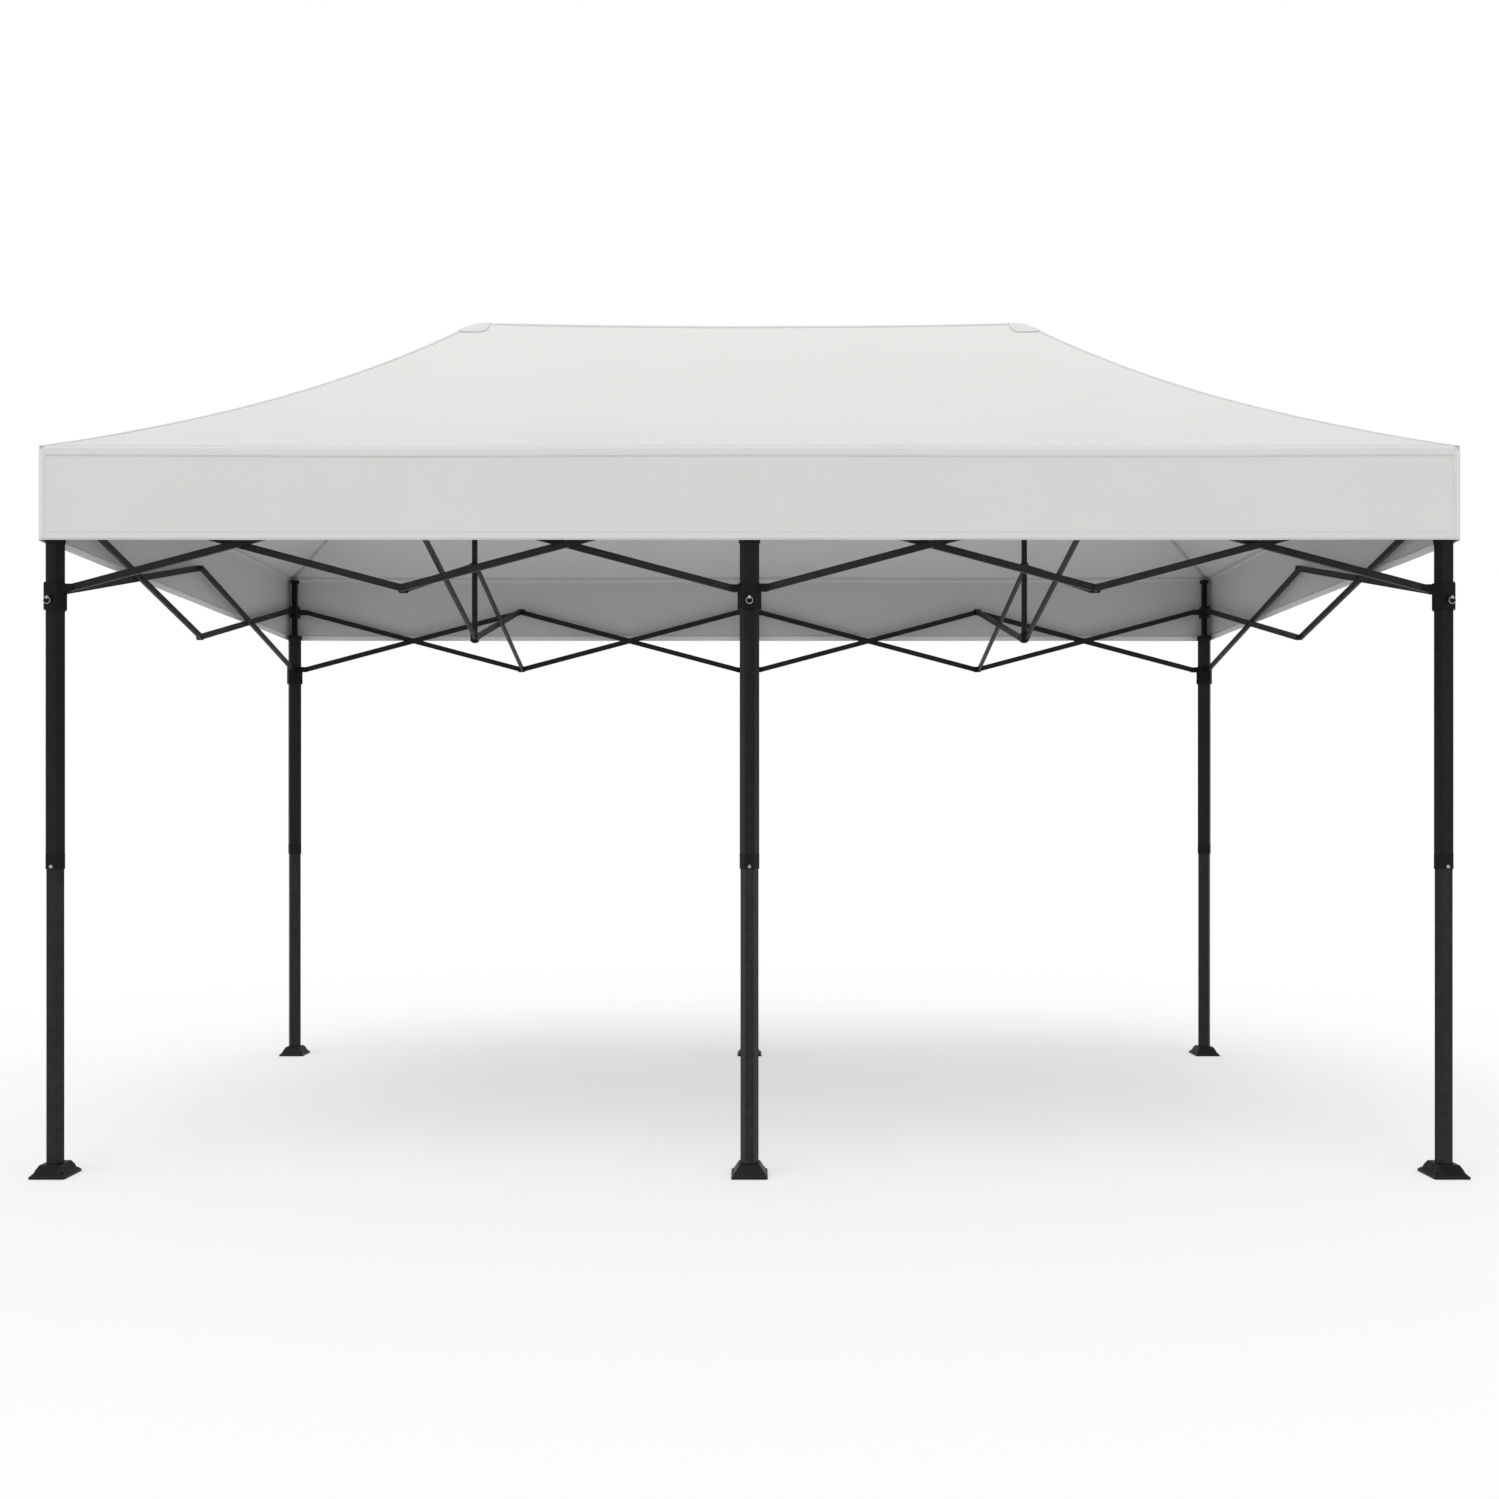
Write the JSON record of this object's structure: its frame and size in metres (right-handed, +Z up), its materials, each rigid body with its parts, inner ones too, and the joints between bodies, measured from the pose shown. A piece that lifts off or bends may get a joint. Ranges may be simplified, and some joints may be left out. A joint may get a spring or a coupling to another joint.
{
  "type": "pop up canopy",
  "caption": "Pop-up canopy with telescoping legs, sliders and scissor trusses that fold, peak masts and a hipped white fabric cover with deep valances.",
  "frame": {"origin": "on the ground under the middle of the canopy, the centre of the bounding box's bottom", "axes": "+X along the length, +Y from the front to the back, +Z up"},
  "size_m": [5.048, 2.588, 3.4885],
  "materials": {
    "canopy_fabric": "white coated polyester weave, matt",
    "black_powder_coat": "black powder coat, satin, fine orange peel",
    "black_bar": "black powder coat on flat tube, satin",
    "black_nylon": "moulded glass-filled nylon, fine texture"
  },
  "bodies": {
    "leg_front_left": {"leg_front_left": "black_powder_coat"},
    "lower_leg_front_left": {"lower_leg_front_left": "black_powder_coat"},
    "slider_front_left": {"slider_front_left": "black_nylon"},
    "leg_front_middle": {"leg_front_middle": "black_powder_coat"},
    "lower_leg_front_middle": {"lower_leg_front_middle": "black_powder_coat"},
    "slider_front_middle": {"slider_front_middle": "black_nylon"},
    "leg_front_right": {"leg_front_right": "black_powder_coat"},
    "lower_leg_front_right": {"lower_leg_front_right": "black_powder_coat"},
    "slider_front_right": {"slider_front_right": "black_nylon"},
    "leg_back_left": {"leg_back_left": "black_powder_coat"},
    "lower_leg_back_left": {"lower_leg_back_left": "black_powder_coat"},
    "slider_back_left": {"slider_back_left": "black_nylon"},
    "leg_back_middle": {"leg_back_middle": "black_powder_coat"},
    "lower_leg_back_middle": {"lower_leg_back_middle": "black_powder_coat"},
    "slider_back_middle": {"slider_back_middle": "black_nylon"},
    "leg_back_right": {"leg_back_right": "black_powder_coat"},
    "lower_leg_back_right": {"lower_leg_back_right": "black_powder_coat"},
    "slider_back_right": {"slider_back_right": "black_nylon"},
    "front_bar_1_falling": {"front_bar_1_falling": "black_bar"},
    "front_bar_1_rising": {"front_bar_1_rising": "black_bar"},
    "front_bar_2_falling": {"front_bar_2_falling": "black_bar"},
    "front_bar_2_rising": {"front_bar_2_rising": "black_bar"},
    "front_bar_3_falling": {"front_bar_3_falling": "black_bar"},
    "front_bar_3_rising": {"front_bar_3_rising": "black_bar"},
    "front_bar_4_falling": {"front_bar_4_falling": "black_bar"},
    "front_bar_4_rising": {"front_bar_4_rising": "black_bar"},
    "back_bar_1_falling": {"back_bar_1_falling": "black_bar"},
    "back_bar_1_rising": {"back_bar_1_rising": "black_bar"},
    "back_bar_2_falling": {"back_bar_2_falling": "black_bar"},
    "back_bar_2_rising": {"back_bar_2_rising": "black_bar"},
    "back_bar_3_falling": {"back_bar_3_falling": "black_bar"},
    "back_bar_3_rising": {"back_bar_3_rising": "black_bar"},
    "back_bar_4_falling": {"back_bar_4_falling": "black_bar"},
    "back_bar_4_rising": {"back_bar_4_rising": "black_bar"},
    "left_bar_1_falling": {"left_bar_1_falling": "black_bar"},
    "left_bar_1_rising": {"left_bar_1_rising": "black_bar"},
    "left_bar_2_falling": {"left_bar_2_falling": "black_bar"},
    "left_bar_2_rising": {"left_bar_2_rising": "black_bar"},
    "right_bar_1_falling": {"right_bar_1_falling": "black_bar"},
    "right_bar_1_rising": {"right_bar_1_rising": "black_bar"},
    "right_bar_2_falling": {"right_bar_2_falling": "black_bar"},
    "right_bar_2_rising": {"right_bar_2_rising": "black_bar"},
    "cross_left_bar_1_falling": {"cross_left_bar_1_falling": "black_bar"},
    "cross_left_bar_1_rising": {"cross_left_bar_1_rising": "black_bar"},
    "cross_left_bar_2_falling": {"cross_left_bar_2_falling": "black_bar"},
    "cross_left_bar_2_rising": {"cross_left_bar_2_rising": "black_bar"},
    "bay_bracket_left": {"bay_bracket_left": "black_nylon"},
    "peak_mast_left": {"peak_mast_left": "black_powder_coat"},
    "mast_collar_left": {"mast_collar_left": "black_nylon"},
    "cross_right_bar_1_falling": {"cross_right_bar_1_falling": "black_bar"},
    "cross_right_bar_1_rising": {"cross_right_bar_1_rising": "black_bar"},
    "cross_right_bar_2_falling": {"cross_right_bar_2_falling": "black_bar"},
    "cross_right_bar_2_rising": {"cross_right_bar_2_rising": "black_bar"},
    "bay_bracket_right": {"bay_bracket_right": "black_nylon"},
    "peak_mast_right": {"peak_mast_right": "black_powder_coat"},
    "mast_collar_right": {"mast_collar_right": "black_nylon"},
    "cover_front": {"cover_front": "canopy_fabric"},
    "cover_back": {"cover_back": "canopy_fabric"},
    "cover_left": {"cover_left": "canopy_fabric"},
    "cover_right": {"cover_right": "canopy_fabric"}
  },
  "joints": [
    {"name": "frame_fold", "type": "hinge", "parent": "leg_front_middle", "child": "front_bar_2_rising", "pos_m": [-0.062, -1.23, 2.39], "axis": [0, -1, 0], "range_deg": [0, 73.5]},
    {"name": "front_cross_2", "type": "hinge", "parent": "front_bar_2_rising", "child": "front_bar_2_falling", "pos_m": [-0.646, -1.23, 2.235], "axis": [0, 1, 0], "range_deg": [0, 147]},
    {"name": "slider_front_middle_pivot", "type": "hinge", "parent": "front_bar_2_falling", "child": "slider_front_middle", "pos_m": [-0.062, -1.23, 2.08], "axis": [0, -1, 0], "range_deg": [0, 73.5]},
    {"name": "front_mid_pin_left", "type": "hinge", "parent": "front_bar_2_rising", "child": "front_bar_1_falling", "pos_m": [-1.23, -1.23, 2.08], "axis": [0, 1, 0], "range_deg": [0, 147]},
    {"name": "front_cross_1", "type": "hinge", "parent": "front_bar_1_falling", "child": "front_bar_1_rising", "pos_m": [-1.814, -1.23, 2.235], "axis": [0, -1, 0], "range_deg": [0, 147]},
    {"name": "leg_front_left_pivot", "type": "hinge", "parent": "front_bar_1_falling", "child": "leg_front_left", "pos_m": [-2.398, -1.23, 2.39], "axis": [0, -1, 0], "range_deg": [0, 73.5]},
    {"name": "slider_front_left_pivot", "type": "hinge", "parent": "front_bar_1_rising", "child": "slider_front_left", "pos_m": [-2.398, -1.23, 2.08], "axis": [0, 1, 0], "range_deg": [0, 73.5]},
    {"name": "front_right_fold", "type": "hinge", "parent": "leg_front_middle", "child": "front_bar_3_falling", "pos_m": [0.062, -1.23, 2.39], "axis": [0, 1, 0], "range_deg": [0, 73.5]},
    {"name": "front_cross_3", "type": "hinge", "parent": "front_bar_3_falling", "child": "front_bar_3_rising", "pos_m": [0.646, -1.23, 2.235], "axis": [0, -1, 0], "range_deg": [0, 147]},
    {"name": "front_mid_pin_right", "type": "hinge", "parent": "front_bar_3_falling", "child": "front_bar_4_rising", "pos_m": [1.23, -1.23, 2.08], "axis": [0, -1, 0], "range_deg": [0, 147]},
    {"name": "front_cross_4", "type": "hinge", "parent": "front_bar_4_rising", "child": "front_bar_4_falling", "pos_m": [1.814, -1.23, 2.235], "axis": [0, 1, 0], "range_deg": [0, 147]},
    {"name": "leg_front_right_pivot", "type": "hinge", "parent": "front_bar_4_rising", "child": "leg_front_right", "pos_m": [2.398, -1.23, 2.39], "axis": [0, 1, 0], "range_deg": [0, 73.5]},
    {"name": "slider_front_right_pivot", "type": "hinge", "parent": "front_bar_4_falling", "child": "slider_front_right", "pos_m": [2.398, -1.23, 2.08], "axis": [0, -1, 0], "range_deg": [0, 73.5]},
    {"name": "bay_bracket_left_pivot", "type": "hinge", "parent": "front_bar_2_rising", "child": "bay_bracket_left", "pos_m": [-1.23, -1.23, 2.08], "axis": [0, 1, 0], "range_deg": [0, 73.5]},
    {"name": "cross_left_front_pivot", "type": "hinge", "parent": "bay_bracket_left", "child": "cross_left_bar_1_rising", "pos_m": [-1.23, -1.198, 2.08], "axis": [1, 0, 0], "range_deg": [0, 73.5]},
    {"name": "cross_left_cross_1", "type": "hinge", "parent": "cross_left_bar_1_rising", "child": "cross_left_bar_1_falling", "pos_m": [-1.23, -0.614, 2.235], "axis": [-1, 0, 0], "range_deg": [0, 147]},
    {"name": "peak_mast_left_pivot", "type": "hinge", "parent": "cross_left_bar_1_falling", "child": "peak_mast_left", "pos_m": [-1.23, -0.03, 2.08], "axis": [1, 0, 0], "range_deg": [0, 73.5]},
    {"name": "mast_collar_left_pivot", "type": "hinge", "parent": "cross_left_bar_1_rising", "child": "mast_collar_left", "pos_m": [-1.23, -0.03, 2.39], "axis": [-1, 0, 0], "range_deg": [0, 73.5]},
    {"name": "cross_left_back_pivot", "type": "hinge", "parent": "peak_mast_left", "child": "cross_left_bar_2_rising", "pos_m": [-1.23, 0.03, 2.08], "axis": [1, 0, 0], "range_deg": [0, 73.5]},
    {"name": "cross_left_cross_2", "type": "hinge", "parent": "cross_left_bar_2_rising", "child": "cross_left_bar_2_falling", "pos_m": [-1.23, 0.614, 2.235], "axis": [-1, 0, 0], "range_deg": [0, 147]},
    {"name": "bay_bracket_right_pivot", "type": "hinge", "parent": "front_bar_3_falling", "child": "bay_bracket_right", "pos_m": [1.23, -1.23, 2.08], "axis": [0, -1, 0], "range_deg": [0, 73.5]},
    {"name": "cross_right_front_pivot", "type": "hinge", "parent": "bay_bracket_right", "child": "cross_right_bar_1_rising", "pos_m": [1.23, -1.198, 2.08], "axis": [1, 0, 0], "range_deg": [0, 73.5]},
    {"name": "cross_right_cross_1", "type": "hinge", "parent": "cross_right_bar_1_rising", "child": "cross_right_bar_1_falling", "pos_m": [1.23, -0.614, 2.235], "axis": [-1, 0, 0], "range_deg": [0, 147]},
    {"name": "peak_mast_right_pivot", "type": "hinge", "parent": "cross_right_bar_1_falling", "child": "peak_mast_right", "pos_m": [1.23, -0.03, 2.08], "axis": [1, 0, 0], "range_deg": [0, 73.5]},
    {"name": "mast_collar_right_pivot", "type": "hinge", "parent": "cross_right_bar_1_rising", "child": "mast_collar_right", "pos_m": [1.23, -0.03, 2.39], "axis": [-1, 0, 0], "range_deg": [0, 73.5]},
    {"name": "cross_right_back_pivot", "type": "hinge", "parent": "peak_mast_right", "child": "cross_right_bar_2_rising", "pos_m": [1.23, 0.03, 2.08], "axis": [1, 0, 0], "range_deg": [0, 73.5]},
    {"name": "cross_right_cross_2", "type": "hinge", "parent": "cross_right_bar_2_rising", "child": "cross_right_bar_2_falling", "pos_m": [1.23, 0.614, 2.235], "axis": [-1, 0, 0], "range_deg": [0, 147]},
    {"name": "left_front_pivot", "type": "hinge", "parent": "leg_front_left", "child": "left_bar_1_falling", "pos_m": [-2.46, -1.168, 2.39], "axis": [-1, 0, 0], "range_deg": [0, 73.5]},
    {"name": "left_cross_1", "type": "hinge", "parent": "left_bar_1_falling", "child": "left_bar_1_rising", "pos_m": [-2.46, -0.584, 2.235], "axis": [1, 0, 0], "range_deg": [0, 147]},
    {"name": "left_mid_pin", "type": "hinge", "parent": "left_bar_1_falling", "child": "left_bar_2_rising", "pos_m": [-2.46, 0, 2.08], "axis": [1, 0, 0], "range_deg": [0, 147]},
    {"name": "left_cross_2", "type": "hinge", "parent": "left_bar_2_rising", "child": "left_bar_2_falling", "pos_m": [-2.46, 0.584, 2.235], "axis": [-1, 0, 0], "range_deg": [0, 147]},
    {"name": "leg_back_left_pivot", "type": "hinge", "parent": "left_bar_2_rising", "child": "leg_back_left", "pos_m": [-2.46, 1.168, 2.39], "axis": [-1, 0, 0], "range_deg": [0, 73.5]},
    {"name": "slider_back_left_pivot", "type": "hinge", "parent": "left_bar_2_falling", "child": "slider_back_left", "pos_m": [-2.46, 1.168, 2.08], "axis": [1, 0, 0], "range_deg": [0, 73.5]},
    {"name": "right_front_pivot", "type": "hinge", "parent": "leg_front_right", "child": "right_bar_1_falling", "pos_m": [2.46, -1.168, 2.39], "axis": [-1, 0, 0], "range_deg": [0, 73.5]},
    {"name": "right_cross_1", "type": "hinge", "parent": "right_bar_1_falling", "child": "right_bar_1_rising", "pos_m": [2.46, -0.584, 2.235], "axis": [1, 0, 0], "range_deg": [0, 147]},
    {"name": "right_mid_pin", "type": "hinge", "parent": "right_bar_1_falling", "child": "right_bar_2_rising", "pos_m": [2.46, 0, 2.08], "axis": [1, 0, 0], "range_deg": [0, 147]},
    {"name": "right_cross_2", "type": "hinge", "parent": "right_bar_2_rising", "child": "right_bar_2_falling", "pos_m": [2.46, 0.584, 2.235], "axis": [-1, 0, 0], "range_deg": [0, 147]},
    {"name": "leg_back_right_pivot", "type": "hinge", "parent": "right_bar_2_rising", "child": "leg_back_right", "pos_m": [2.46, 1.168, 2.39], "axis": [-1, 0, 0], "range_deg": [0, 73.5]},
    {"name": "slider_back_right_pivot", "type": "hinge", "parent": "right_bar_2_falling", "child": "slider_back_right", "pos_m": [2.46, 1.168, 2.08], "axis": [1, 0, 0], "range_deg": [0, 73.5]},
    {"name": "back_left_pivot", "type": "hinge", "parent": "leg_back_left", "child": "back_bar_1_falling", "pos_m": [-2.398, 1.23, 2.39], "axis": [0, 1, 0], "range_deg": [0, 73.5]},
    {"name": "back_cross_1", "type": "hinge", "parent": "back_bar_1_falling", "child": "back_bar_1_rising", "pos_m": [-1.814, 1.23, 2.235], "axis": [0, -1, 0], "range_deg": [0, 147]},
    {"name": "back_mid_pin_left", "type": "hinge", "parent": "back_bar_1_falling", "child": "back_bar_2_rising", "pos_m": [-1.23, 1.23, 2.08], "axis": [0, -1, 0], "range_deg": [0, 147]},
    {"name": "back_cross_2", "type": "hinge", "parent": "back_bar_2_rising", "child": "back_bar_2_falling", "pos_m": [-0.646, 1.23, 2.235], "axis": [0, 1, 0], "range_deg": [0, 147]},
    {"name": "leg_back_middle_pivot", "type": "hinge", "parent": "back_bar_2_rising", "child": "leg_back_middle", "pos_m": [-0.062, 1.23, 2.39], "axis": [0, 1, 0], "range_deg": [0, 73.5]},
    {"name": "slider_back_middle_pivot", "type": "hinge", "parent": "back_bar_2_falling", "child": "slider_back_middle", "pos_m": [-0.062, 1.23, 2.08], "axis": [0, -1, 0], "range_deg": [0, 73.5]},
    {"name": "back_right_pivot", "type": "hinge", "parent": "leg_back_right", "child": "back_bar_4_rising", "pos_m": [2.398, 1.23, 2.39], "axis": [0, -1, 0], "range_deg": [0, 73.5]},
    {"name": "back_cross_4", "type": "hinge", "parent": "back_bar_4_rising", "child": "back_bar_4_falling", "pos_m": [1.814, 1.23, 2.235], "axis": [0, 1, 0], "range_deg": [0, 147]},
    {"name": "back_mid_pin_right", "type": "hinge", "parent": "back_bar_4_rising", "child": "back_bar_3_falling", "pos_m": [1.23, 1.23, 2.08], "axis": [0, 1, 0], "range_deg": [0, 147]},
    {"name": "back_cross_3", "type": "hinge", "parent": "back_bar_3_falling", "child": "back_bar_3_rising", "pos_m": [0.646, 1.23, 2.235], "axis": [0, -1, 0], "range_deg": [0, 147]},
    {"name": "cover_front_eave", "type": "hinge", "parent": "leg_front_middle", "child": "cover_front", "pos_m": [0, -1.27, 2.57], "axis": [-1, 0, 0], "range_deg": [0, 126], "deforming": ["cover_front"]},
    {"name": "cover_back_eave", "type": "hinge", "parent": "leg_back_middle", "child": "cover_back", "pos_m": [0, 1.27, 2.57], "axis": [1, 0, 0], "range_deg": [0, 126], "deforming": ["cover_back"]},
    {"name": "cover_left_eave", "type": "hinge", "parent": "leg_front_left", "child": "cover_left", "pos_m": [-2.5, 0, 2.57], "axis": [0, 1, 0], "range_deg": [0, 126], "deforming": ["cover_left"]},
    {"name": "cover_right_eave", "type": "hinge", "parent": "leg_front_right", "child": "cover_right", "pos_m": [2.5, 0, 2.57], "axis": [0, -1, 0], "range_deg": [0, 126], "deforming": ["cover_right"]},
    {"name": "leg_front_left_height", "type": "slide", "parent": "leg_front_left", "child": "lower_leg_front_left", "axis": [0, 0, 1], "range_m": [0, 0.86]},
    {"name": "leg_front_middle_height", "type": "slide", "parent": "leg_front_middle", "child": "lower_leg_front_middle", "axis": [0, 0, 1], "range_m": [0, 0.86]},
    {"name": "leg_front_right_height", "type": "slide", "parent": "leg_front_right", "child": "lower_leg_front_right", "axis": [0, 0, 1], "range_m": [0, 0.86]},
    {"name": "leg_back_left_height", "type": "slide", "parent": "leg_back_left", "child": "lower_leg_back_left", "axis": [0, 0, 1], "range_m": [0, 0.86]},
    {"name": "leg_back_middle_height", "type": "slide", "parent": "leg_back_middle", "child": "lower_leg_back_middle", "axis": [0, 0, 1], "range_m": [0, 0.86]},
    {"name": "leg_back_right_height", "type": "slide", "parent": "leg_back_right", "child": "lower_leg_back_right", "axis": [0, 0, 1], "range_m": [0, 0.86]}
  ],
  "couplings": [
    {"joint": "front_cross_2", "follows": "frame_fold", "ratio": 2},
    {"joint": "slider_front_middle_pivot", "follows": "frame_fold", "ratio": 1},
    {"joint": "front_mid_pin_left", "follows": "frame_fold", "ratio": 2},
    {"joint": "front_cross_1", "follows": "frame_fold", "ratio": 2},
    {"joint": "leg_front_left_pivot", "follows": "frame_fold", "ratio": 1},
    {"joint": "slider_front_left_pivot", "follows": "frame_fold", "ratio": 1},
    {"joint": "front_right_fold", "follows": "frame_fold", "ratio": 1},
    {"joint": "front_cross_3", "follows": "frame_fold", "ratio": 2},
    {"joint": "front_mid_pin_right", "follows": "frame_fold", "ratio": 2},
    {"joint": "front_cross_4", "follows": "frame_fold", "ratio": 2},
    {"joint": "leg_front_right_pivot", "follows": "frame_fold", "ratio": 1},
    {"joint": "slider_front_right_pivot", "follows": "frame_fold", "ratio": 1},
    {"joint": "bay_bracket_left_pivot", "follows": "frame_fold", "ratio": 1},
    {"joint": "cross_left_front_pivot", "follows": "frame_fold", "ratio": 1},
    {"joint": "cross_left_cross_1", "follows": "frame_fold", "ratio": 2},
    {"joint": "peak_mast_left_pivot", "follows": "frame_fold", "ratio": 1},
    {"joint": "mast_collar_left_pivot", "follows": "frame_fold", "ratio": 1},
    {"joint": "cross_left_back_pivot", "follows": "frame_fold", "ratio": 1},
    {"joint": "cross_left_cross_2", "follows": "frame_fold", "ratio": 2},
    {"joint": "bay_bracket_right_pivot", "follows": "frame_fold", "ratio": 1},
    {"joint": "cross_right_front_pivot", "follows": "frame_fold", "ratio": 1},
    {"joint": "cross_right_cross_1", "follows": "frame_fold", "ratio": 2},
    {"joint": "peak_mast_right_pivot", "follows": "frame_fold", "ratio": 1},
    {"joint": "mast_collar_right_pivot", "follows": "frame_fold", "ratio": 1},
    {"joint": "cross_right_back_pivot", "follows": "frame_fold", "ratio": 1},
    {"joint": "cross_right_cross_2", "follows": "frame_fold", "ratio": 2},
    {"joint": "left_front_pivot", "follows": "frame_fold", "ratio": 1},
    {"joint": "left_cross_1", "follows": "frame_fold", "ratio": 2},
    {"joint": "left_mid_pin", "follows": "frame_fold", "ratio": 2},
    {"joint": "left_cross_2", "follows": "frame_fold", "ratio": 2},
    {"joint": "leg_back_left_pivot", "follows": "frame_fold", "ratio": 1},
    {"joint": "slider_back_left_pivot", "follows": "frame_fold", "ratio": 1},
    {"joint": "right_front_pivot", "follows": "frame_fold", "ratio": 1},
    {"joint": "right_cross_1", "follows": "frame_fold", "ratio": 2},
    {"joint": "right_mid_pin", "follows": "frame_fold", "ratio": 2},
    {"joint": "right_cross_2", "follows": "frame_fold", "ratio": 2},
    {"joint": "leg_back_right_pivot", "follows": "frame_fold", "ratio": 1},
    {"joint": "slider_back_right_pivot", "follows": "frame_fold", "ratio": 1},
    {"joint": "back_left_pivot", "follows": "frame_fold", "ratio": 1},
    {"joint": "back_cross_1", "follows": "frame_fold", "ratio": 2},
    {"joint": "back_mid_pin_left", "follows": "frame_fold", "ratio": 2},
    {"joint": "back_cross_2", "follows": "frame_fold", "ratio": 2},
    {"joint": "leg_back_middle_pivot", "follows": "frame_fold", "ratio": 1},
    {"joint": "slider_back_middle_pivot", "follows": "frame_fold", "ratio": 1},
    {"joint": "back_right_pivot", "follows": "frame_fold", "ratio": 1},
    {"joint": "back_cross_4", "follows": "frame_fold", "ratio": 2},
    {"joint": "back_mid_pin_right", "follows": "frame_fold", "ratio": 2},
    {"joint": "back_cross_3", "follows": "frame_fold", "ratio": 2},
    {"joint": "cover_front_eave", "follows": "frame_fold", "ratio": 1.7143},
    {"joint": "cover_back_eave", "follows": "frame_fold", "ratio": 1.7143},
    {"joint": "cover_left_eave", "follows": "frame_fold", "ratio": 1.7143},
    {"joint": "cover_right_eave", "follows": "frame_fold", "ratio": 1.7143}
  ]
}
